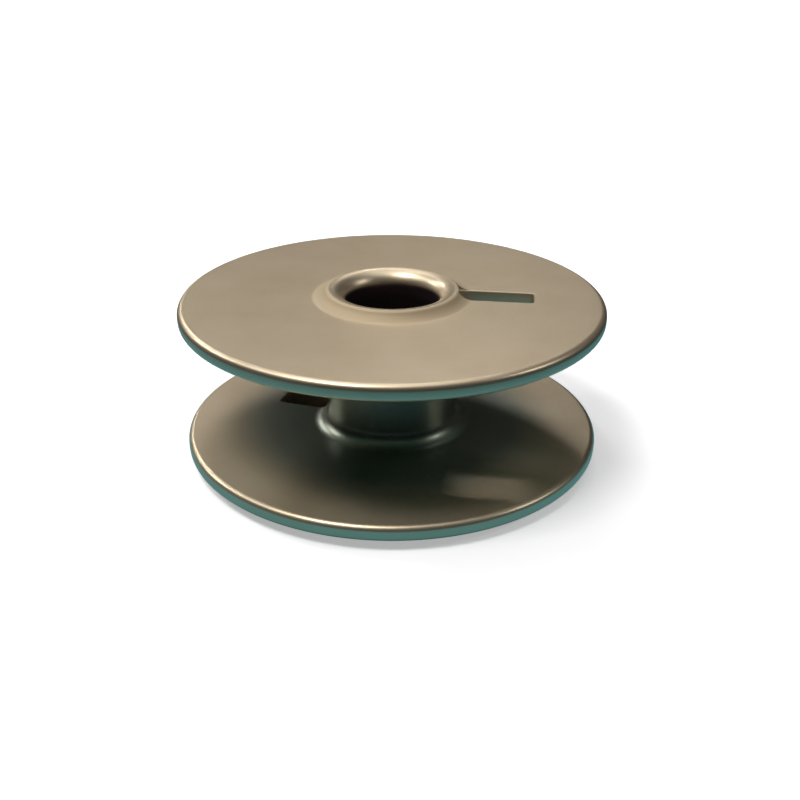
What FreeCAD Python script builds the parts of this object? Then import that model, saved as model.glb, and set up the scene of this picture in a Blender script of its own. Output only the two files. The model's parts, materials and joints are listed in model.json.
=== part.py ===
# Sewing machine bobbin: a steel spool, two flat flanges on a hub tube, all one piece. Millimetres.
# The hub's axis is Z, and the bobbin stands on the lower end of its hub at Z = 0.
# X points the way that the thread slot in the upper flange runs.
import FreeCAD, Part
import math
import os
import Sketcher

NODE = "bobbin"

# Driving dimensions: name, value, what it measures
SIZES = [
    ("flange_diameter", 25.0, "across each flange"),
    ("overall_height", 10.0, "over both ends of the hub"),
    ("flange_thickness", 0.95, "of each flange's disc"),
    ("bore_diameter", 5.5, "of the hole that the spindle fills"),
    ("hub_wall", 1.15, "of the hub tube, between the bore and the thread's seat"),
    ("hub_end_height", 0.5, "from a flange's outer face to the hub's end"),
    ("hub_end_flare", 0.4, "by which a hub end widens on its way to the flange's outer face"),
    ("bore_mouth_radius", 1.0, "rounding where the bore opens at a hub end"),
    ("hub_end_edge_radius", 0.1, "rounding of a hub end's outer edge"),
    ("hub_end_foot_radius", 0.5, "fillet from a hub end to the flange's outer face"),
    ("thread_root_radius", 1.0, "fillet from hub to flange in the thread space"),
    ("rim_edge_radius", 0.35, "rounding of both edges of a flange's rim"),
    ("slot_width", 1.6, "across a thread slot"),
    ("upper_slot_reach", 8.3, "from the axis to the upper slot's outer end, along the slot"),
    ("lower_slot_reach", 7.55, "from the axis to the lower slot's outer end, along the slot"),
    ("slot_offset", 0.65, "from the axis to a slot's middle line"),
    ("slot_corner_radius", 0.2, "in the two corners of a slot's outer end"),
    ("slot_overrun", 0.15, "of a slot past the flange's inner face, into the fillet there"),
    ("lower_slot_angle", 169.5, "degrees from the upper slot round to the lower one"),
]

# The sketcher's numbers for the points of a line or an arc and for its horizontal axis,
# whose start is the origin
START, END, CENTRE = range(1, 4)
HORIZONTAL_AXIS = -1
ORIGIN_POINT = (HORIZONTAL_AXIS, START)

# Lengths closer than this are taken as the same
SAME = 1e-6


def make_sheet(doc):
    """Puts every driving dimension in a cell with its own alias."""
    sheet = doc.addObject("Spreadsheet::Sheet", "Sizes")
    for row, (name, value, meaning) in enumerate(SIZES, start=1):
        sheet.set(f"A{row}", name)
        sheet.set(f"B{row}", str(value))
        sheet.setAlias(f"B{row}", name)
        sheet.set(f"C{row}", meaning)
    doc.recompute()
    return sheet


def origin_plane(body, role):
    """The body's own base plane with this role, such as XZ_Plane."""
    return next(plane for plane in body.Origin.OriginFeatures if plane.Role == role)


def new_sketch(body, name, role):
    """A sketch on one of the body's base planes."""
    sketch = body.newObject("Sketcher::SketchObject", name)
    sketch.AttachmentSupport = (origin_plane(body, role), [""])
    sketch.MapMode = "FlatFace"
    return sketch


def bind(sketch, name, expression, *constraint):
    """Adds a named dimension to a sketch and ties its value to the sheet."""
    index = sketch.addConstraint(Sketcher.Constraint(*constraint))
    sketch.renameConstraint(index, name)
    sketch.setExpression(f"Constraints.{name}", expression)


def spool_profile(body, sheet):
    """Half of the bobbin's section, with sharp corners, right of the axis in the XZ plane."""
    bore = sheet.bore_diameter / 2
    hub = bore + sheet.hub_wall
    foot = hub + sheet.hub_end_flare
    rim = sheet.flange_diameter / 2
    top = sheet.overall_height
    lower_face = sheet.hub_end_height
    lower_inner = lower_face + sheet.flange_thickness
    upper_face = top - lower_face
    upper_inner = top - lower_inner
    corners = [
        (bore, 0), (hub, 0), (foot, lower_face), (rim, lower_face), (rim, lower_inner), (hub, lower_inner),
        (hub, upper_inner), (rim, upper_inner), (rim, upper_face), (foot, upper_face), (hub, top), (bore, top),
    ]
    sketch = new_sketch(body, "spool_profile", "XZ_Plane")
    points = [FreeCAD.Vector(r, z, 0) for r, z in corners]
    count = len(points)
    for i, point in enumerate(points):
        sketch.addGeometry(Part.LineSegment(point, points[(i + 1) % count]), False)
    end_edge, end_side, _, lower_rim, _, seat, _, upper_rim, _, upper_side, top_edge, _ = range(count)
    for i in range(count):
        sketch.addConstraint(Sketcher.Constraint("Coincident", i, END, (i + 1) % count, START))
        if i not in (end_side, upper_side):
            direction = "Horizontal" if i % 2 == 0 else "Vertical"
            sketch.addConstraint(Sketcher.Constraint(direction, i))

    sketch.addConstraint(Sketcher.Constraint("PointOnObject", end_edge, START, HORIZONTAL_AXIS))
    sketch.addConstraint(Sketcher.Constraint("Equal", lower_rim, upper_rim))
    sketch.addConstraint(Sketcher.Constraint("Equal", end_side, upper_side))
    sketch.addConstraint(Sketcher.Constraint("Vertical", lower_rim, START, upper_rim, START))
    sketch.addConstraint(Sketcher.Constraint("Vertical", end_side, START, seat, START))
    sketch.addConstraint(Sketcher.Constraint("Vertical", end_side, START, upper_side, END))
    sketch.addConstraint(Sketcher.Constraint("Vertical", end_side, END, upper_side, START))
    bind(sketch, "bore_radius", "Sizes.bore_diameter / 2", "DistanceX", *ORIGIN_POINT, end_edge, START, bore)
    bind(sketch, "wall", "Sizes.hub_wall", "DistanceX", end_edge, START, end_edge, END, hub - bore)
    bind(sketch, "rim_radius", "Sizes.flange_diameter / 2", "DistanceX", *ORIGIN_POINT, lower_rim, START, rim)
    bind(sketch, "flare", "Sizes.hub_end_flare", "DistanceX", end_side, START, end_side, END, foot - hub)
    bind(sketch, "end_height", "Sizes.hub_end_height", "DistanceY", end_side, START, end_side, END, lower_face)
    bind(sketch, "thickness", "Sizes.flange_thickness", "DistanceY", lower_rim, START, lower_rim, END,
         sheet.flange_thickness)
    bind(sketch, "height", "Sizes.overall_height", "DistanceY", end_edge, START, top_edge, END, top)
    return sketch


def circle_edges(shape, radius, heights):
    """Names of the shape's full circles about Z with this radius, at these heights."""
    names = []
    for number, edge in enumerate(shape.Edges, start=1):
        if not isinstance(edge.Curve, Part.Circle):
            continue
        centre = edge.Curve.Center
        if abs(edge.Curve.Radius - radius) < SAME and any(abs(centre.z - z) < SAME for z in heights):
            names.append(f"Edge{number}")
    return names


def round_edges(body, base, name, size_name, radius, heights):
    """Rounds the circles at this radius and these heights by a size from the sheet."""
    edges = circle_edges(base.Shape, radius, heights)
    if len(edges) != len(heights):
        raise RuntimeError(f"{name}: found {len(edges)} edges, not {len(heights)}")
    fillet = body.newObject("PartDesign::Fillet", name)
    fillet.Base = (base, edges)
    fillet.setExpression("Radius", f"Sizes.{size_name}")
    body.Document.recompute()
    return fillet


def slot_outline(body, sheet, flange, side):
    """A thread slot seen along the axis: from the hub's wall out along X, its middle line off the axis.

    flange is upper or lower. side is 1 where the slot lies to the left of the axis, looking outwards from
    above, and -1 to the right.
    """
    hub = sheet.bore_diameter / 2 + sheet.hub_wall
    reach = sheet.get(f"{flange}_slot_reach")
    corner = sheet.slot_corner_radius
    middle = side * sheet.slot_offset
    low = middle - sheet.slot_width / 2
    high = middle + sheet.slot_width / 2
    low_angle = math.asin(low / hub)
    high_angle = math.asin(high / hub)

    def at(x, y):
        return FreeCAD.Vector(x, y, 0)

    sketch = new_sketch(body, f"{flange}_slot_outline", "XY_Plane")
    low_side, low_corner, end, high_corner, high_side, hub_arc, end_middle = range(7)
    z_axis = FreeCAD.Vector(0, 0, 1)
    quarter = math.pi / 2
    sketch.addGeometry(Part.LineSegment(at(hub * math.cos(low_angle), low), at(reach - corner, low)), False)
    low_circle = Part.Circle(at(reach - corner, low + corner), z_axis, corner)
    sketch.addGeometry(Part.ArcOfCircle(low_circle, -quarter, 0), False)
    sketch.addGeometry(Part.LineSegment(at(reach, low + corner), at(reach, high - corner)), False)
    high_circle = Part.Circle(at(reach - corner, high - corner), z_axis, corner)
    sketch.addGeometry(Part.ArcOfCircle(high_circle, 0, quarter), False)
    sketch.addGeometry(Part.LineSegment(at(reach - corner, high), at(hub * math.cos(high_angle), high)), False)
    sketch.addGeometry(Part.ArcOfCircle(Part.Circle(at(0, 0), z_axis, hub), low_angle, high_angle), False)
    sketch.addGeometry(Part.Point(at(reach, middle)), True)

    sketch.addConstraint(Sketcher.Constraint("Tangent", low_side, END, low_corner, START))
    sketch.addConstraint(Sketcher.Constraint("Tangent", low_corner, END, end, START))
    sketch.addConstraint(Sketcher.Constraint("Tangent", end, END, high_corner, START))
    sketch.addConstraint(Sketcher.Constraint("Tangent", high_corner, END, high_side, START))
    sketch.addConstraint(Sketcher.Constraint("Coincident", high_side, END, hub_arc, END))
    sketch.addConstraint(Sketcher.Constraint("Coincident", hub_arc, START, low_side, START))
    sketch.addConstraint(Sketcher.Constraint("Coincident", hub_arc, CENTRE, *ORIGIN_POINT))
    sketch.addConstraint(Sketcher.Constraint("Horizontal", low_side))
    sketch.addConstraint(Sketcher.Constraint("Vertical", end))
    sketch.addConstraint(Sketcher.Constraint("Equal", low_corner, high_corner))
    sketch.addConstraint(Sketcher.Constraint("Symmetric", end, START, end, END, end_middle, START))
    bind(sketch, "hub_radius", "Sizes.bore_diameter / 2 + Sizes.hub_wall", "Radius", hub_arc, hub)
    bind(sketch, "corner_radius", "Sizes.slot_corner_radius", "Radius", low_corner, corner)
    bind(sketch, "reach", f"Sizes.{flange}_slot_reach", "DistanceX", *ORIGIN_POINT, end, START, reach)
    bind(sketch, "width", "Sizes.slot_width", "DistanceY", low_side, END, high_side, START, high - low)
    ends = (*ORIGIN_POINT, end_middle, START) if side > 0 else (end_middle, START, *ORIGIN_POINT)
    bind(sketch, "offset", "Sizes.slot_offset", "DistanceY", *ends, sheet.slot_offset)
    return sketch


def cut_slot(body, base, outline, name, downwards):
    """Cuts a slot from the level of a hub end through its flange, and just into the fillet under that."""
    pocket = body.newObject("PartDesign::Pocket", name)
    pocket.Profile = outline
    pocket.Type = "Length"
    pocket.Reversed = not downwards
    pocket.setExpression("Length", "Sizes.hub_end_height + Sizes.flange_thickness + Sizes.slot_overrun")
    body.Document.recompute()
    if pocket.Shape.Volume >= base.Shape.Volume:
        raise RuntimeError(f"{name} cuts nothing")
    return pocket


def make_bobbin(doc, sheet):
    """The spool turned from its profile, its edges rounded, and a thread slot through each flange."""
    body = doc.addObject("PartDesign::Body", NODE)
    body.Label = NODE
    profile = spool_profile(body, sheet)
    spool = body.newObject("PartDesign::Revolution", "spool")
    spool.Profile = profile
    spool.ReferenceAxis = (profile, ["V_Axis"])
    spool.Angle = 360
    doc.recompute()

    bore = sheet.bore_diameter / 2
    hub = bore + sheet.hub_wall
    foot = hub + sheet.hub_end_flare
    rim = sheet.flange_diameter / 2
    top = sheet.overall_height
    face = sheet.hub_end_height
    inner = face + sheet.flange_thickness
    ends = (0, top)
    faces = (face, top - face)
    inner_faces = (inner, top - inner)
    rims = faces + inner_faces
    tip = round_edges(body, spool, "thread_roots", "thread_root_radius", hub, inner_faces)
    tip = round_edges(body, tip, "rims", "rim_edge_radius", rim, rims)
    tip = round_edges(body, tip, "hub_end_feet", "hub_end_foot_radius", foot, faces)
    tip = round_edges(body, tip, "bore_mouths", "bore_mouth_radius", bore, ends)
    tip = round_edges(body, tip, "hub_end_edges", "hub_end_edge_radius", hub, ends)

    upper_outline = slot_outline(body, sheet, "upper", side=1)
    upper_outline.setExpression("AttachmentOffset.Base.z", "Sizes.overall_height")
    tip = cut_slot(body, tip, upper_outline, "upper_slot", downwards=True)

    lower_outline = slot_outline(body, sheet, "lower", side=-1)
    turn = FreeCAD.Rotation(FreeCAD.Vector(0, 0, 1), sheet.lower_slot_angle)
    lower_outline.AttachmentOffset = FreeCAD.Placement(FreeCAD.Vector(0, 0, 0), turn)
    lower_outline.setExpression("AttachmentOffset.Rotation.Angle", "Sizes.lower_slot_angle * 1 deg")
    tip = cut_slot(body, tip, lower_outline, "lower_slot", downwards=False)
    body.Tip = tip
    doc.recompute()
    return body


def check(doc, body):
    """Stops if any object failed to build, or the bobbin isn't one sound solid."""
    for item in doc.Objects:
        if "Invalid" in item.State or "Error" in item.State:
            raise RuntimeError(f"{item.Name} failed: {item.State}")
    if body.Shape.isNull() or not body.Shape.isValid():
        raise RuntimeError(f"{body.Label} has no valid shape")
    if len(body.Shape.Solids) != 1:
        raise RuntimeError(f"{body.Label} is {len(body.Shape.Solids)} solids")


def main():
    doc = FreeCAD.newDocument("bobbin_document")
    sheet = make_sheet(doc)
    body = make_bobbin(doc, sheet)
    check(doc, body)
    os.makedirs("parts", exist_ok=True)
    body.Shape.exportStep(f"parts/{body.Label}.step")
    box = body.Shape.optimalBoundingBox(False, False)
    print(f"{body.Label}: {box.XLength:.3f} x {box.YLength:.3f} x {box.ZLength:.3f} mm, "
          f"volume {body.Shape.Volume:.2f} mm3, faces {len(body.Shape.Faces)}")


main()
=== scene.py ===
# Sewing machine bobbin: the looks of a nickel-plated steel spool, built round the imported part.
# Sizes are real millimetres, turned to metres by MM.
# Z is the hub's axis, and X is the way the upper slot runs.
import json
import math

import bmesh
import bpy
from mathutils import Matrix, Vector


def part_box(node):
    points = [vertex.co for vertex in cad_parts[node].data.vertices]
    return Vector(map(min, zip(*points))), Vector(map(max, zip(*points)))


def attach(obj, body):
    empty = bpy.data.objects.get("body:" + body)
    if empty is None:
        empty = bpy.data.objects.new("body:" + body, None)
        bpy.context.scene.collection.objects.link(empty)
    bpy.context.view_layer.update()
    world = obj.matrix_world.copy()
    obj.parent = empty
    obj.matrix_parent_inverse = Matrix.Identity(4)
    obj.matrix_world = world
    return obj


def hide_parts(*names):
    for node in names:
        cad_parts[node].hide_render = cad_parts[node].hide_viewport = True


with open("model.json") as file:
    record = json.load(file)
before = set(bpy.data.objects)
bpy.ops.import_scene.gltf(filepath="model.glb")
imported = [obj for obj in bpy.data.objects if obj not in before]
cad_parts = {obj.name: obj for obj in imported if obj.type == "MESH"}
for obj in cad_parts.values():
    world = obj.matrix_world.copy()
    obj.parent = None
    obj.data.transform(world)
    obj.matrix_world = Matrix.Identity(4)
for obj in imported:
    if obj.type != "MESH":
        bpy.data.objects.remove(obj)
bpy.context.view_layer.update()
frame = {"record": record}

MM = 0.001
LOW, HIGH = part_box("bobbin")
BORE_MOUNT = next(mount for mount in frame["record"]["mounts"] if mount["name"] == "spindle_bore")

# The spool's sizes in metres. The first three come from the frame, and the rest follow the part's source,
# but the hub ends' edge and foot are rounded more softly here, and the slots' edges are broken.
SIZES = {
    "Rim radius": (HIGH.x - LOW.x) / 2,
    "Height": HIGH.z - LOW.z,
    "Bore radius": BORE_MOUNT["dims"]["r_mm"] * MM,
    "Hub wall": 1.15 * MM,
    "Flange thickness": 0.95 * MM,
    "Hub end height": 0.5 * MM,
    "Hub end flare": 0.4 * MM,
    "Bore mouth radius": 1.0 * MM,
    "Hub end edge radius": 0.3 * MM,
    "Hub end foot radius": 1.0 * MM,
    "Thread root radius": 1.0 * MM,
    "Rim edge radius": 0.35 * MM,
    "Slot width": 1.6 * MM,
    "Upper slot reach": 8.3 * MM,
    "Lower slot reach": 7.55 * MM,
    "Slot offset": 0.65 * MM,
    "Slot corner radius": 0.2 * MM,
    "Slot edge radius": 0.08 * MM,
    "Slot overrun": 0.15 * MM,
}
# How finely the round stretches are drawn
COUNTS = {"Turn segments": 512, "Edge segments": 8, "Slot segments": 48, "Slot edge segments": 2}
# Degrees round the axis from the upper slot to the lower one
LOWER_SLOT_ANGLE = 169.5
# How far a slot's flare stands past the flange's face, for a clean cut
SLOT_PROUD = 0.004 * MM
# The hub that guards the bore from the slots, in lengths of the spool
GUARD_LENGTHS = 3.0
# Edges that turn by more degrees than this are shaded sharp
SHARP_ANGLE = 15
# A face counts as flat where its direction points along the axis by at least this much
FLAT_RISE = 0.9999

# The photograph's camera, found from the outlines of both flanges
CAMERA_TURN = 7.3
CAMERA_REACH = 55.003 * MM
CAMERA_HEIGHT = 29.747 * MM
CAMERA_PITCH = 26.258
CAMERA_YAW = 0.512
CAMERA_ROLL = 0.374
CAMERA_LENS = 44.444
CAMERA_SENSOR = 36.0
CAMERA_CLIP = 1.0 * MM

# The finish's relief: real grain and rings are finer, and are drawn coarser here so that they show
GRAIN_SIZE = 0.14 * MM
GRAIN_DEPTH = 0.004 * MM
RING_SPACING = 0.22 * MM
RING_DEPTH = 0.0015 * MM
FINE_DETAIL = 2.0

# The finish's tones, and where they change; the crease, between-flange and bore tones are painted shade
PLATE_TONES = ("#C5B293", "#D6C5AB")
# Painted shade: the darker tone in the creases round the hub ends
CREASE_SHADE_TONE = "#BDAC90"
# Painted shade: the greyer tone deep between the flanges
BETWEEN_FLANGES_SHADE_TONE = "#8D9082"
# Painted shade: the dark tone inside the bore
BORE_SHADE_TONE = "#4A3E42"
CLOUD_SIZE = 3.0 * MM
CLOUD_DETAIL = 3.0
HUB_RADIUS = SIZES["Bore radius"] + SIZES["Hub wall"]
CREASE = 1.0 * MM
# Where the painted shade between the flanges starts in from the rim, and where it is full
BETWEEN_SHADE_START = 10.6 * MM
BETWEEN_SHADE_END = 7.0 * MM
# How far up the bore's mouths the painted shade reaches, and how softly it blends
BORE_SHADE_RISE = 0.3 * MM
BORE_SHADE_BLEND = 0.15 * MM
# The space for thread, taken a little way into the flanges so that their inner faces lie in it
THREAD_MARGIN = 0.05 * MM
FLANGE_INNER = SIZES["Hub end height"] + SIZES["Flange thickness"]
THREAD_SPACE = SIZES["Height"] - 2 * (FLANGE_INNER - THREAD_MARGIN)

# The finish's gloss: the plain roughness, and what wear and dullness change of it
METAL_SHARE = 0.85
SATIN = 0.43
RING_GLOSS = 0.08
RIM_WEAR = 0.5 * MM
WORN_GLOSS = 0.06
CREASE_DULL = 0.3
MOUTH_POLISH = 0.05
THREAD_POLISH = 0.08
THREAD_RUB = 9.5 * MM

# The studio's white surroundings: the world's fill light, and the floor's glow from near the bobbin outwards
WORLD_FILL = 0.03
SEEN_WHITE = 1.0
FLOOR_HALF = 1.5
FLOOR_COLOUR = "#F2F2F2"
GLOW_COLOUR = "#FFFFFF"
GLOW_START = 0.03
GLOW_END = 0.25
GLOW_LOW = 0.4

# The tent: its light by elevation in degrees
TENT_RADIUS = 0.4
TENT_SEGMENTS = 48
TENT_RINGS = 24
TENT_GRADE = [(0, 0.004), (25, 0.01), (40, 0.04), (60, 0.10), (85, 0.15)]

# The card: dark under the bobbin as a painted shadow, fading far out, and darker behind, by the cosine from
# straight behind
CARD_COLOUR = "#64A6B8"
CARD_LIFT = 0.05 * MM
CARD_SEGMENTS = 64
CARD_SHADOW_EDGE_START = 12.0 * MM
CARD_SHADOW_EDGE_END = 12.8 * MM
CARD_FADE_START = 28 * MM
CARD_FADE_END = 50 * MM
CARD_FAR_SHARE = 0.05
CARD_BACK_START = 0.6
CARD_BACK_END = 0.9
CARD_BACK_SHARE = 0.1

# Each lamp's azimuth and elevation in the photograph, its width and height in metres, and its power
LAMP_DISTANCE = 0.3
LAMPS = {
    "key_light": (-126, 69, 0.10, 0.07, 0.37),
    "overhead_light": (0, 83, 0.26, 0.26, 0.22),
    "high_back_light": (-17, 54, 0.08, 0.06, 0.06),
    "high_left_light": (-92, 53, 0.12, 0.06, 0.08),
    "back_light": (7, 43.5, 0.05, 0.04, 0.056),
    "left_back_light": (-34, 30, 0.05, 0.03, 0.10),
    "left_light": (-62, 33.5, 0.03, 0.03, 0.15),
    "right_light": (97, 36, 0.04, 0.03, 0.08),
}


def linear(code):
    """An sRGB hex colour as the linear colour that shaders take."""
    channels = [int(code[i:i + 2], 16) / 255 for i in (1, 3, 5)]
    return tuple(c / 12.92 if c <= 0.04045 else ((c + 0.055) / 1.055) ** 2.4 for c in channels) + (1.0,)


def feed(tree, socket, value):
    """Links a node's first output or a socket to an input, or sets the input to a plain value."""
    source = value.outputs[0] if isinstance(value, bpy.types.Node) else value
    if isinstance(source, bpy.types.NodeSocket):
        tree.links.new(source, socket)
    else:
        socket.default_value = source


def add(tree, kind, inputs=(), **settings):
    """Adds a node, gives it its settings, and sets or links its inputs by name or place."""
    node = tree.nodes.new(kind)
    for name, value in settings.items():
        setattr(node, name, value)
    for key, value in inputs.items() if isinstance(inputs, dict) else enumerate(inputs):
        feed(tree, node.inputs[key], value)
    return node


# The spool's shape

def section_corners(tree, size):
    """The half section's twelve sharp corners, each with its radius, its height and its rounding."""
    bore, rim, top, end = size["Bore radius"], size["Rim radius"], size["Height"], size["Hub end height"]
    hub = add(tree, "ShaderNodeMath", [bore, size["Hub wall"]], operation="ADD")
    flared = add(tree, "ShaderNodeMath", [hub, size["Hub end flare"]], operation="ADD")
    inner = add(tree, "ShaderNodeMath", [end, size["Flange thickness"]], operation="ADD")
    upper_inner = add(tree, "ShaderNodeMath", [top, inner], operation="SUBTRACT")
    upper_end = add(tree, "ShaderNodeMath", [top, end], operation="SUBTRACT")
    mouth, edge = size["Bore mouth radius"], size["Hub end edge radius"]
    foot, root, brim = size["Hub end foot radius"], size["Thread root radius"], size["Rim edge radius"]
    lower_half = [
        (bore, 0.0, mouth), (hub, 0.0, edge), (flared, end, foot),
        (rim, end, brim), (rim, inner, brim), (hub, inner, root),
    ]
    upper_half = [
        (hub, upper_inner, root), (rim, upper_inner, brim), (rim, upper_end, brim),
        (flared, upper_end, foot), (hub, top, edge), (bore, top, mouth),
    ]
    return lower_half + upper_half, hub


def turned_spool(tree, size):
    """The half section with its corners rounded, swept round the hub's axis."""
    corners, hub = section_corners(tree, size)
    index = add(tree, "GeometryNodeInputIndex")
    picked = []
    for column in zip(*corners):
        switch = add(tree, "GeometryNodeIndexSwitch", data_type="FLOAT")
        for _ in range(len(corners) - len(switch.index_switch_items)):
            switch.index_switch_items.new()
        feed(tree, switch.inputs["Index"], index)
        for place, value in enumerate(column):
            feed(tree, switch.inputs[str(place)], value)
        picked.append(switch)
    radius, height, rounding = picked
    across = add(tree, "ShaderNodeMath", [radius, size["Rim radius"]], operation="SUBTRACT")
    down = add(tree, "ShaderNodeMath", [height, -1.0], operation="MULTIPLY")
    place = add(tree, "ShaderNodeCombineXYZ", [across, down])
    ring = add(tree, "GeometryNodeCurvePrimitiveCircle", {"Resolution": len(corners)})
    sharp = add(tree, "GeometryNodeSetPosition", {"Geometry": ring, "Position": place})
    section = add(tree, "GeometryNodeFilletCurve", {"Curve": sharp, "Radius": rounding}, mode="POLY")
    feed(tree, section.inputs["Count"], size["Edge segments"])
    path = add(tree, "GeometryNodeCurvePrimitiveCircle",
               {"Resolution": size["Turn segments"], "Radius": size["Rim radius"]})
    swept = add(tree, "GeometryNodeCurveToMesh", {"Curve": path, "Profile Curve": section})
    return add(tree, "GeometryNodeFlipFaces", {"Mesh": swept}), hub


def slot_cutter(tree, size, hub, side, middle, reach):
    """A bar with rounded corners whose two mouths flare, so that it leaves a slot with broken edges.

    It starts as a round bar of radius 1, and each ring of it is pushed out to the slot's outline.
    side is 1 where the slot lies to the left of the axis, looking outwards from above, and -1 to its right.
    middle is the flange's middle height.
    """
    # Two flares of so many steps each, the straight middle, and one step past each mouth
    steps = size["Slot edge segments"]
    all_steps = add(tree, "ShaderNodeMath", [steps, 2.0, 3.0], operation="MULTIPLY_ADD")
    bar = add(tree, "GeometryNodeMeshCylinder",
              {"Vertices": size["Slot segments"], "Side Segments": all_steps, "Radius": 1.0, "Depth": 2.0})
    half_step = add(tree, "ShaderNodeMath", [math.pi, size["Slot segments"]], operation="DIVIDE")
    turn = add(tree, "ShaderNodeCombineXYZ", [0.0, 0.0, half_step])
    turned = add(tree, "GeometryNodeTransform", {"Geometry": bar, "Rotation": turn})
    point = add(tree, "ShaderNodeSeparateXYZ", [add(tree, "GeometryNodeInputPosition")])

    # How far round the flare's quarter circle this ring lies, and how far out and up that takes it
    away = add(tree, "ShaderNodeMath", [point.outputs["Z"]], operation="ABSOLUTE")
    level = add(tree, "ShaderNodeMath", [away, all_steps, -1.0], operation="MULTIPLY_ADD")
    ring = add(tree, "ShaderNodeMath", [level, 2.0], operation="DIVIDE")
    share = add(tree, "ShaderNodeMath", [ring, steps], operation="DIVIDE", use_clamp=True)
    angle = add(tree, "ShaderNodeMath", [share, math.pi / 2], operation="MULTIPLY")
    cosine = add(tree, "ShaderNodeMath", [angle], operation="COSINE")
    sine = add(tree, "ShaderNodeMath", [angle], operation="SINE")
    edge = size["Slot edge radius"]
    inwards = add(tree, "ShaderNodeMath", [1.0, cosine], operation="SUBTRACT")
    flare = add(tree, "ShaderNodeMath", [inwards, edge], operation="MULTIPLY")
    short = add(tree, "ShaderNodeMath", [1.0, sine], operation="SUBTRACT")
    drop = add(tree, "ShaderNodeMath", [short, edge], operation="MULTIPLY")
    past = add(tree, "ShaderNodeMath", [ring, steps], operation="SUBTRACT")
    last = add(tree, "ShaderNodeMath", [past, 0.5], operation="GREATER_THAN")
    half_flange = add(tree, "ShaderNodeMath", [size["Flange thickness"], 0.5, SLOT_PROUD],
                      operation="MULTIPLY_ADD")
    mouth = add(tree, "ShaderNodeMath", [half_flange, drop], operation="SUBTRACT")
    way = add(tree, "ShaderNodeMath", [point.outputs["Z"]], operation="SIGN")
    outer = add(tree, "ShaderNodeMath", [way, float(side)], operation="MULTIPLY")
    overrun = add(tree, "ShaderNodeMapRange",
                  {"Value": outer, "From Min": -1.0, "From Max": 1.0,
                   "To Min": size["Slot overrun"], "To Max": size["Hub end height"]})
    beyond = add(tree, "ShaderNodeMath", [last, overrun], operation="MULTIPLY")
    reach_up = add(tree, "ShaderNodeMath", [mouth, beyond], operation="ADD")
    height = add(tree, "ShaderNodeMath", [way, reach_up, middle], operation="MULTIPLY_ADD")

    # The outline: corner arcs pushed apart to the slot's length and width
    corner = size["Slot corner radius"]
    arc = add(tree, "ShaderNodeMath", [corner, flare], operation="ADD")
    bore = size["Bore radius"]
    length = add(tree, "ShaderNodeMath", [reach, bore], operation="SUBTRACT")
    outline = []
    for axis, whole in (("X", length), ("Y", size["Slot width"])):
        half = add(tree, "ShaderNodeMath", [whole, 0.5], operation="MULTIPLY")
        straight = add(tree, "ShaderNodeMath", [half, corner], operation="SUBTRACT")
        sign = add(tree, "ShaderNodeMath", [point.outputs[axis]], operation="SIGN")
        shift = add(tree, "ShaderNodeMath", [sign, straight], operation="MULTIPLY")
        spread = add(tree, "ShaderNodeMath", [point.outputs[axis], arc, shift], operation="MULTIPLY_ADD")
        outline.append(spread)
    centre_x = add(tree, "ShaderNodeMath", [length, 0.5, bore], operation="MULTIPLY_ADD")
    along = add(tree, "ShaderNodeMath", [outline[0], centre_x], operation="ADD")
    across = add(tree, "ShaderNodeMath", [size["Slot offset"], float(side), outline[1]],
                 operation="MULTIPLY_ADD")
    place = add(tree, "ShaderNodeCombineXYZ", [along, across, height])
    flared = add(tree, "GeometryNodeSetPosition", {"Geometry": turned, "Position": place})

    # The slot stops at the hub's wall, so the hub is taken out of the bar
    guard_depth = add(tree, "ShaderNodeMath", [size["Height"], GUARD_LENGTHS], operation="MULTIPLY")
    guard = add(tree, "GeometryNodeMeshCylinder",
                {"Vertices": size["Turn segments"], "Radius": hub, "Depth": guard_depth})
    return add(tree, "GeometryNodeMeshBoolean", {"Mesh 1": flared, "Mesh 2": guard},
               operation="DIFFERENCE", solver="MANIFOLD")


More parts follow.
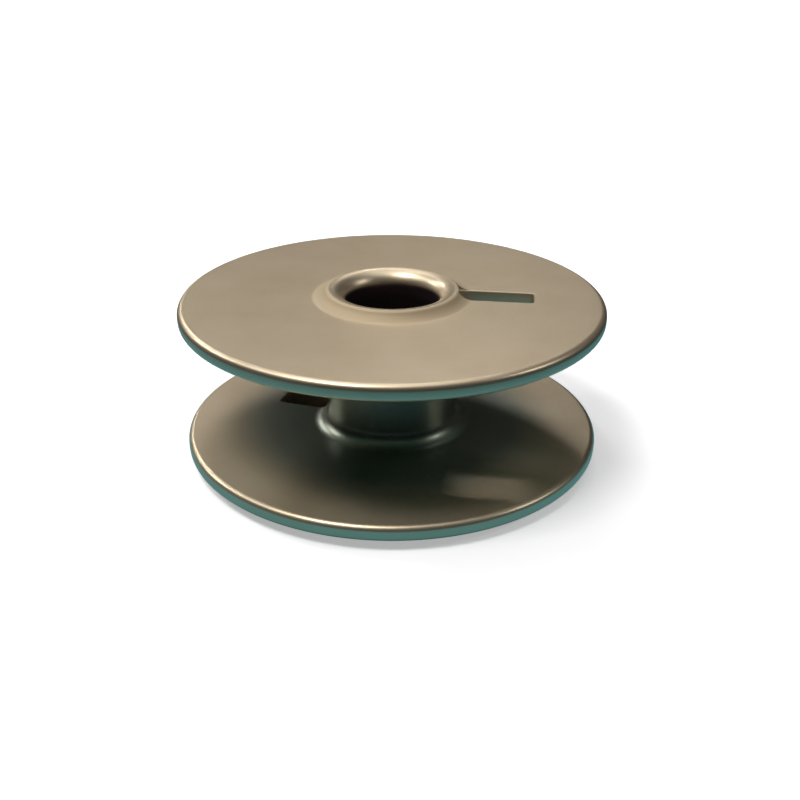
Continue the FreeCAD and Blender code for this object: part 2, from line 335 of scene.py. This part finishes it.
def spool_tree():
    """The whole spool as one tree: turned, slotted through both flanges, and shaded up to sharp edges."""
    tree = bpy.data.node_groups.new("turned_spool", "GeometryNodeTree")
    face = tree.interface
    for name, value in SIZES.items():
        face.new_socket(name, in_out="INPUT", socket_type="NodeSocketFloat").default_value = value
    for name, value in COUNTS.items():
        face.new_socket(name, in_out="INPUT", socket_type="NodeSocketInt").default_value = value
    face.new_socket("Lower slot angle", in_out="INPUT", socket_type="NodeSocketFloat")
    face.new_socket("Finish", in_out="INPUT", socket_type="NodeSocketMaterial")
    face.new_socket("Geometry", in_out="OUTPUT", socket_type="NodeSocketGeometry")
    size = add(tree, "NodeGroupInput").outputs

    spool, hub = turned_spool(tree, size)
    lower_middle = add(tree, "ShaderNodeMath", [size["Flange thickness"], 0.5, size["Hub end height"]],
                       operation="MULTIPLY_ADD")
    upper_middle = add(tree, "ShaderNodeMath", [size["Height"], lower_middle], operation="SUBTRACT")
    upper = slot_cutter(tree, size, hub, 1, upper_middle, size["Upper slot reach"])
    lower = slot_cutter(tree, size, hub, -1, lower_middle, size["Lower slot reach"])
    turn = add(tree, "ShaderNodeCombineXYZ", [0.0, 0.0, size["Lower slot angle"]])
    lower_turned = add(tree, "GeometryNodeTransform", {"Geometry": lower, "Rotation": turn})
    cutters = add(tree, "GeometryNodeJoinGeometry")
    for cutter in (upper, lower_turned):
        feed(tree, cutters.inputs[0], cutter)
    slotted = add(tree, "GeometryNodeMeshBoolean", {"Mesh 1": spool, "Mesh 2": cutters},
                  operation="DIFFERENCE", solver="MANIFOLD")
    smooth = add(tree, "GeometryNodeSetShadeSmooth", {"Geometry": slotted, "Shade Smooth": True},
                 domain="FACE")
    edge_angle = add(tree, "GeometryNodeInputMeshEdgeAngle")
    sharp = add(tree, "ShaderNodeMath", [edge_angle, math.radians(SHARP_ANGLE)], operation="GREATER_THAN")
    creased = add(tree, "GeometryNodeSetShadeSmooth",
                  {"Geometry": smooth, "Selection": sharp, "Shade Smooth": False}, domain="EDGE")
    real = add(tree, "GeometryNodeRealizeInstances", {"Geometry": creased})
    finished = add(tree, "GeometryNodeSetMaterial", {"Geometry": real, "Material": size["Finish"]})
    add(tree, "NodeGroupOutput", [finished])
    return tree


def level_faces(mesh):
    """Shades the flat faces along their own direction, right up to the rounded edges they end in."""
    level = {}
    for face in mesh.polygons:
        if abs(face.normal.z) > FLAT_RISE:
            for vertex in face.vertices:
                level[vertex] = face.normal.copy()
    directions = []
    for loop, corner in zip(mesh.loops, mesh.corner_normals):
        shown = corner.vector.copy()
        flat = level.get(loop.vertex_index)
        leans_little = flat is not None and flat.angle(shown) < math.radians(SHARP_ANGLE) / 2
        directions.append(flat if leans_little else shown)
    mesh.normals_split_custom_set(directions)


def make_spool(material):
    """The bobbin's own mesh, made by the tree and then kept as a plain mesh."""
    tree = spool_tree()
    spool = bpy.data.objects.new("bobbin_spool", bpy.data.meshes.new("bobbin_spool"))
    bpy.context.scene.collection.objects.link(spool)
    modifier = spool.modifiers.new("turned_spool", "NODES")
    modifier.node_group = tree
    values = {**SIZES, **COUNTS, "Lower slot angle": math.radians(LOWER_SLOT_ANGLE), "Finish": material}
    for item in tree.interface.items_tree:
        if item.in_out == "INPUT":
            modifier[item.identifier] = values[item.name]
    # Large faces lead the shading, and no difference in area is too small to count
    evened = spool.modifiers.new("even_shading", "WEIGHTED_NORMAL")
    evened.keep_sharp = True
    evened.thresh = 0.0
    graph = bpy.context.evaluated_depsgraph_get()
    mesh = bpy.data.meshes.new_from_object(spool.evaluated_get(graph))
    level_faces(mesh)
    spool.modifiers.clear()
    spool.data = mesh
    return spool


# The finish

def nickel_plated_steel():
    """Steel, tumbled and then dull nickel plated: a warm grey metal whose satin skin blurs what it mirrors.

    Close up it has a fine pebbled grain, faint rings from the lathe and slight clouds in its tone.
    Handling has polished the rims, the spindle the bore's mouths, and thread the space between the flanges.
    The creases round the hub ends are dull, and painted darker as shade. Deep between the flanges a greyer
    tone is painted in as shade, and the bore is painted dark as shade.
    """
    material = bpy.data.materials.new("satin_nickel_plated_steel")
    material.use_nodes = True
    tree = material.node_tree
    shader = tree.nodes["Principled BSDF"]
    shader.inputs["Metallic"].default_value = METAL_SHARE
    place = add(tree, "ShaderNodeTexCoord").outputs["Object"]
    height = add(tree, "ShaderNodeSeparateXYZ", [place]).outputs["Z"]
    flat = add(tree, "ShaderNodeVectorMath", [place, (1.0, 1.0, 0.0)], operation="MULTIPLY")
    radius = add(tree, "ShaderNodeVectorMath", [flat], operation="LENGTH").outputs["Value"]
    from_middle = add(tree, "ShaderNodeMath", [height, -SIZES["Height"] / 2], operation="ADD")
    away = add(tree, "ShaderNodeMath", [from_middle], operation="ABSOLUTE")

    # Painted shade in the bore: along its wall and a little way up its mouths
    wall_end = SIZES["Height"] / 2 - SIZES["Bore mouth radius"]
    bore_shade_end = wall_end + BORE_SHADE_RISE
    deep = add(tree, "ShaderNodeMapRange",
               {"Value": away, "From Min": bore_shade_end + BORE_SHADE_BLEND, "From Max": bore_shade_end - BORE_SHADE_BLEND},
               interpolation_type="SMOOTHSTEP")
    inside = add(tree, "ShaderNodeMath", [radius, SIZES["Bore radius"] + 2 * BORE_SHADE_BLEND],
                 operation="LESS_THAN")
    painted_bore_shade = add(tree, "ShaderNodeMath", [deep, inside], operation="MULTIPLY")

    # Where the creases round the hub ends lie, painted darker as shade and made duller, and the bore's mouths
    # inside them
    on_end = add(tree, "ShaderNodeMath", [away, wall_end], operation="GREATER_THAN")
    past_hub = add(tree, "ShaderNodeMapRange",
                   {"Value": radius, "From Min": HUB_RADIUS - CREASE / 4, "From Max": HUB_RADIUS},
                   interpolation_type="SMOOTHSTEP")
    to_face = add(tree, "ShaderNodeMapRange",
                  {"Value": radius, "From Min": HUB_RADIUS + CREASE, "From Max": HUB_RADIUS + CREASE / 2},
                  interpolation_type="SMOOTHSTEP")
    round_hub = add(tree, "ShaderNodeMath", [past_hub, to_face], operation="MULTIPLY")
    crease_shade_and_dullness = add(tree, "ShaderNodeMath", [round_hub, on_end], operation="MULTIPLY")
    before_hub = add(tree, "ShaderNodeMath", [1.0, past_hub], operation="SUBTRACT")
    mouth = add(tree, "ShaderNodeMath", [before_hub, on_end], operation="MULTIPLY")

    # Where shade is painted deep between the flanges, and where thread has rubbed it
    between = add(tree, "ShaderNodeMath", [away, THREAD_SPACE / 2], operation="LESS_THAN")
    in_from_rim = add(tree, "ShaderNodeMapRange",
                      {"Value": radius, "From Min": BETWEEN_SHADE_START, "From Max": BETWEEN_SHADE_END},
                      interpolation_type="SMOOTHSTEP")
    painted_shade_between = add(tree, "ShaderNodeMath", [between, in_from_rim], operation="MULTIPLY")
    by_hub = add(tree, "ShaderNodeMapRange",
                 {"Value": radius, "From Min": THREAD_RUB, "From Max": HUB_RADIUS + CREASE},
                 interpolation_type="SMOOTHSTEP")
    rubbed = add(tree, "ShaderNodeMath", [between, by_hub], operation="MULTIPLY")

    # The tone: slight clouds over the plate, then painted shade in the creases, between the flanges and in
    # the bore
    clouds = add(tree, "ShaderNodeTexNoise",
                 {"Vector": place, "Scale": 1 / CLOUD_SIZE, "Detail": CLOUD_DETAIL})
    dark_plate, pale_plate = PLATE_TONES
    tone = add(tree, "ShaderNodeMix", {0: clouds, 6: linear(dark_plate), 7: linear(pale_plate)},
               data_type="RGBA")
    for share, colour in ((crease_shade_and_dullness, CREASE_SHADE_TONE), (painted_shade_between, BETWEEN_FLANGES_SHADE_TONE), (painted_bore_shade, BORE_SHADE_TONE)):
        tone = add(tree, "ShaderNodeMix", {0: share, 6: tone.outputs[2], 7: linear(colour)}, data_type="RGBA")
    feed(tree, shader.inputs["Base Color"], tone.outputs[2])

    # The gloss: satin, uneven from ring to ring, duller in the creases, smoother where it is rubbed
    rings = add(tree, "ShaderNodeTexNoise",
                {"W": radius, "Scale": 1 / RING_SPACING, "Detail": FINE_DETAIL}, noise_dimensions="1D")
    worn = add(tree, "ShaderNodeMapRange",
               {"Value": radius, "From Min": SIZES["Rim radius"] - RIM_WEAR, "From Max": SIZES["Rim radius"],
                "To Min": SATIN - RING_GLOSS / 2, "To Max": SATIN - RING_GLOSS / 2 - WORN_GLOSS},
               interpolation_type="SMOOTHSTEP")
    gloss = worn
    changes = ((crease_shade_and_dullness, CREASE_DULL), (rubbed, -THREAD_POLISH), (mouth, -MOUTH_POLISH), (rings, RING_GLOSS))
    for share, change in changes:
        gloss = add(tree, "ShaderNodeMath", [share, change, gloss], operation="MULTIPLY_ADD")
    feed(tree, shader.inputs["Roughness"], gloss)

    # The relief: the grain, and the rings under it
    grain = add(tree, "ShaderNodeTexNoise",
                {"Vector": place, "Scale": 1 / GRAIN_SIZE, "Detail": FINE_DETAIL})
    ringed = add(tree, "ShaderNodeBump", {"Strength": 1.0, "Distance": RING_DEPTH, "Height": rings})
    grained = add(tree, "ShaderNodeBump",
                  {"Strength": 1.0, "Distance": GRAIN_DEPTH, "Height": grain, "Normal": ringed})
    feed(tree, shader.inputs["Normal"], grained)
    return material


# The studio

def seen_rays(tree):
    """1 for the rays that show the background: the camera's, and those that metal or glass sends on."""
    path = add(tree, "ShaderNodeLightPath")
    first = add(tree, "ShaderNodeMath", [path.outputs["Is Camera Ray"], path.outputs["Is Glossy Ray"]],
                operation="MAXIMUM")
    return add(tree, "ShaderNodeMath", [first, path.outputs["Is Transmission Ray"]], operation="MAXIMUM")


def make_world():
    """White where it is seen, and a faint fill where it lights."""
    world = bpy.data.worlds.new("white_studio")
    bpy.context.scene.world = world
    world.use_nodes = True
    tree = world.node_tree
    background = tree.nodes["Background"]
    background.inputs["Color"].default_value = (1.0, 1.0, 1.0, 1.0)
    strength = add(tree, "ShaderNodeMapRange",
                   {"Value": seen_rays(tree), "To Min": WORLD_FILL, "To Max": SEEN_WHITE})
    feed(tree, background.inputs["Strength"], strength)


def studio_piece(name, mesh, finish):
    """Puts a mesh in the scene with a new, empty material, and gives its object and the material's tree."""
    piece = bpy.data.objects.new(name, mesh)
    bpy.context.scene.collection.objects.link(piece)
    material = bpy.data.materials.new(finish)
    material.use_nodes = True
    material.node_tree.nodes.clear()
    mesh.materials.append(material)
    return piece, material.node_tree


def make_floor():
    """A plain white floor that keeps the bobbin's shadow."""
    mesh = bpy.data.meshes.new("floor")
    half = FLOOR_HALF
    mesh.from_pydata([(-half, -half, 0), (half, -half, 0), (half, half, 0), (-half, half, 0)],
                     [], [(0, 1, 2, 3)])
    floor, tree = studio_piece("floor", mesh, "white_floor")
    paint = add(tree, "ShaderNodeBsdfDiffuse", {"Color": linear(FLOOR_COLOUR)})
    place = add(tree, "ShaderNodeTexCoord").outputs["Object"]
    away = add(tree, "ShaderNodeVectorMath", [place], operation="LENGTH").outputs["Value"]
    lift = add(tree, "ShaderNodeMapRange",
               {"Value": away, "From Min": GLOW_START, "From Max": GLOW_END,
                "To Min": GLOW_LOW, "To Max": SEEN_WHITE})
    strength = add(tree, "ShaderNodeMath", [seen_rays(tree), lift], operation="MULTIPLY")
    glow = add(tree, "ShaderNodeEmission", [linear(GLOW_COLOUR), strength])
    both = add(tree, "ShaderNodeAddShader", [paint, glow])
    add(tree, "ShaderNodeOutputMaterial", [both])
    # Its white would otherwise brighten the shaded parts of the spool
    floor.visible_diffuse = False


def from_photo(azimuth, elevation, distance):
    """A place by its direction in the photograph: azimuth 0 is behind the bobbin, 90 to its right."""
    turn = math.radians(azimuth - CAMERA_TURN)
    rise = math.radians(elevation)
    level = distance * math.cos(rise)
    return Vector((level * math.sin(turn), level * math.cos(turn), distance * math.sin(rise)))


def softbox(name, azimuth, elevation, width, height, power):
    """A white soft box that faces the bobbin."""
    lamp = bpy.data.lights.new(name, "AREA")
    lamp.shape = "RECTANGLE"
    lamp.size = width
    lamp.size_y = height
    lamp.energy = power
    box = bpy.data.objects.new(name, lamp)
    bpy.context.scene.collection.objects.link(box)
    place = from_photo(azimuth, elevation, LAMP_DISTANCE)
    facing = (-place).to_track_quat("-Z", "Y").to_matrix().to_4x4()
    box.matrix_world = Matrix.Translation(place) @ facing


def only_mirrored(piece):
    """Leaves a studio piece out of the camera's view and the shadows, so that only the metal shows it."""
    piece.visible_camera = False
    piece.visible_diffuse = False
    piece.visible_shadow = False


def make_tent():
    """A light tent round the bobbin, dark at the table and paler with height."""
    mesh = bpy.data.meshes.new("light_tent")
    shell = bmesh.new()
    bmesh.ops.create_uvsphere(shell, u_segments=TENT_SEGMENTS, v_segments=TENT_RINGS, radius=TENT_RADIUS)
    shell.to_mesh(mesh)
    shell.free()
    tent, tree = studio_piece("light_tent", mesh, "graded_tent_cloth")
    point = add(tree, "ShaderNodeSeparateXYZ", [add(tree, "ShaderNodeTexCoord").outputs["Object"]])
    height = add(tree, "ShaderNodeMath", [point.outputs["Z"], TENT_RADIUS], operation="DIVIDE")
    grade = add(tree, "ShaderNodeValToRGB", [height])
    ramp = grade.color_ramp
    while len(ramp.elements) < len(TENT_GRADE):
        ramp.elements.new(1.0)
    for element, (elevation, light) in zip(ramp.elements, TENT_GRADE):
        element.position = math.sin(math.radians(elevation))
        element.color = (light, light, light, 1.0)
    glow = add(tree, "ShaderNodeEmission", [grade])
    add(tree, "ShaderNodeOutputMaterial", [glow])
    only_mirrored(tent)


def make_card():
    """A glowing teal card on the table, which gives the rims and the hub the teal that they mirror, left dark
    under the bobbin as a painted shadow.
    """
    mesh = bpy.data.meshes.new("teal_card")
    disc = bmesh.new()
    bmesh.ops.create_circle(disc, cap_ends=True, segments=CARD_SEGMENTS, radius=TENT_RADIUS)
    bmesh.ops.translate(disc, verts=disc.verts, vec=(0, 0, CARD_LIFT))
    disc.to_mesh(mesh)
    disc.free()
    card, tree = studio_piece("teal_card", mesh, "teal_card")
    place = add(tree, "ShaderNodeTexCoord").outputs["Object"]
    away = add(tree, "ShaderNodeVectorMath", [place], operation="LENGTH").outputs["Value"]
    # Painted shadow: the card does not glow under the bobbin
    clear = add(tree, "ShaderNodeMapRange",
                {"Value": away, "From Min": CARD_SHADOW_EDGE_START, "From Max": CARD_SHADOW_EDGE_END},
                interpolation_type="SMOOTHSTEP")
    far = add(tree, "ShaderNodeMapRange",
              {"Value": away, "From Min": CARD_FADE_START, "From Max": CARD_FADE_END,
               "To Min": 1.0, "To Max": CARD_FAR_SHARE},
              interpolation_type="SMOOTHSTEP")
    heading = add(tree, "ShaderNodeVectorMath", [place], operation="NORMALIZE")
    straight_back = from_photo(0, 0, 1)
    behind = add(tree, "ShaderNodeVectorMath", [heading, straight_back], operation="DOT_PRODUCT")
    front = add(tree, "ShaderNodeMapRange",
                {"Value": behind.outputs["Value"], "From Min": CARD_BACK_START, "From Max": CARD_BACK_END,
                 "To Min": 1.0, "To Max": CARD_BACK_SHARE},
                interpolation_type="SMOOTHSTEP")
    near = add(tree, "ShaderNodeMath", [clear, far], operation="MULTIPLY")
    strength = add(tree, "ShaderNodeMath", [near, front], operation="MULTIPLY")
    glow = add(tree, "ShaderNodeEmission", [linear(CARD_COLOUR), strength])
    add(tree, "ShaderNodeOutputMaterial", [glow])
    only_mirrored(card)


def make_camera():
    """The photograph's camera: turned about the hub's axis, pitched down, with a slight yaw and roll."""
    data = bpy.data.cameras.new("photo_camera")
    data.sensor_width = CAMERA_SENSOR
    data.lens = CAMERA_LENS
    data.clip_start = CAMERA_CLIP
    camera = bpy.data.objects.new("photo_camera", data)
    bpy.context.scene.collection.objects.link(camera)
    turn = math.radians(CAMERA_TURN)
    place = (CAMERA_REACH * math.sin(turn), -CAMERA_REACH * math.cos(turn), CAMERA_HEIGHT)
    heading = Matrix.Rotation(math.radians(CAMERA_TURN - CAMERA_YAW), 4, "Z")
    pitch = Matrix.Rotation(math.radians(90 - CAMERA_PITCH), 4, "X")
    roll = Matrix.Rotation(math.radians(CAMERA_ROLL), 4, "Z")
    camera.matrix_world = Matrix.Translation(place) @ heading @ pitch @ roll
    bpy.context.scene.camera = camera


spool = make_spool(nickel_plated_steel())
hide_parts("bobbin")
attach(spool, "root")
make_world()
make_floor()
make_tent()
make_card()
for name, lamp in LAMPS.items():
    softbox(name, *lamp)
make_camera()
bpy.context.scene.view_settings.view_transform = "Standard"
